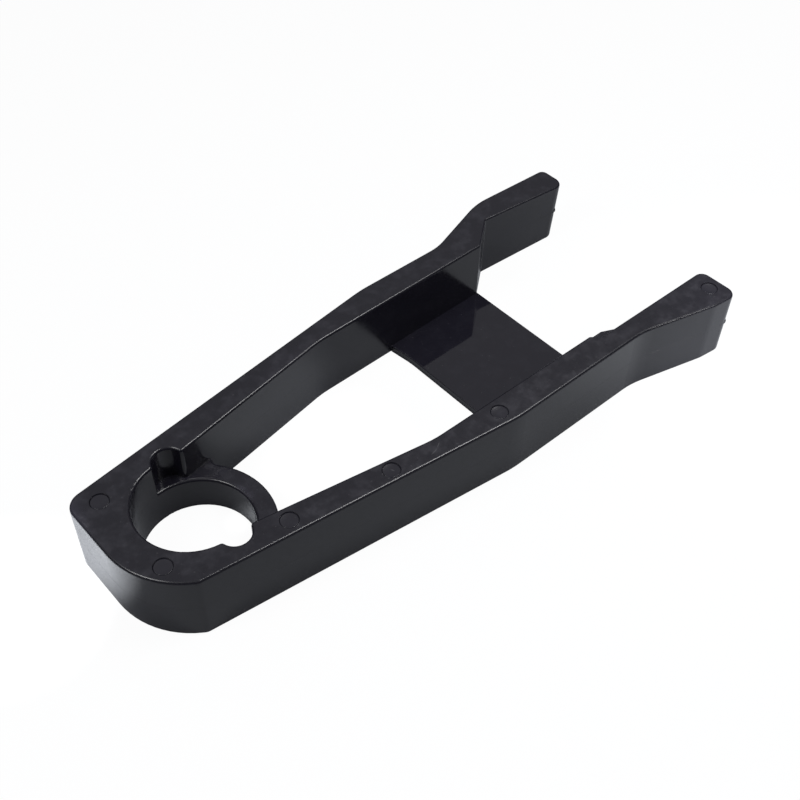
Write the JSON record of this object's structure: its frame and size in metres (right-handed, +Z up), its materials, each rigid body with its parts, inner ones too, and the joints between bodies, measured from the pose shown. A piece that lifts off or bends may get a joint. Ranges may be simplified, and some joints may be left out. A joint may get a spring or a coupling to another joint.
{
  "type": "chain slider",
  "caption": "Black moulded chain slider: a nose block with a round pivot bore, two spreading rails, a thin floor web and two offset tails.",
  "frame": {"origin": "on the axis of the round pivot bore, in the plane of the underside", "axes": "+X from the nose along the slider to its tails, +Z up along the bore axis from the flat underside, +Y across to the slim tail that steps outward"},
  "size_m": [0.2027, 0.0859, 0.023],
  "materials": {
    "moulding": "black, satin on the top and glossy on the walls and the floor web"
  },
  "bodies": {
    "root": {"slider_body": "moulding"}
  },
  "joints": []
}
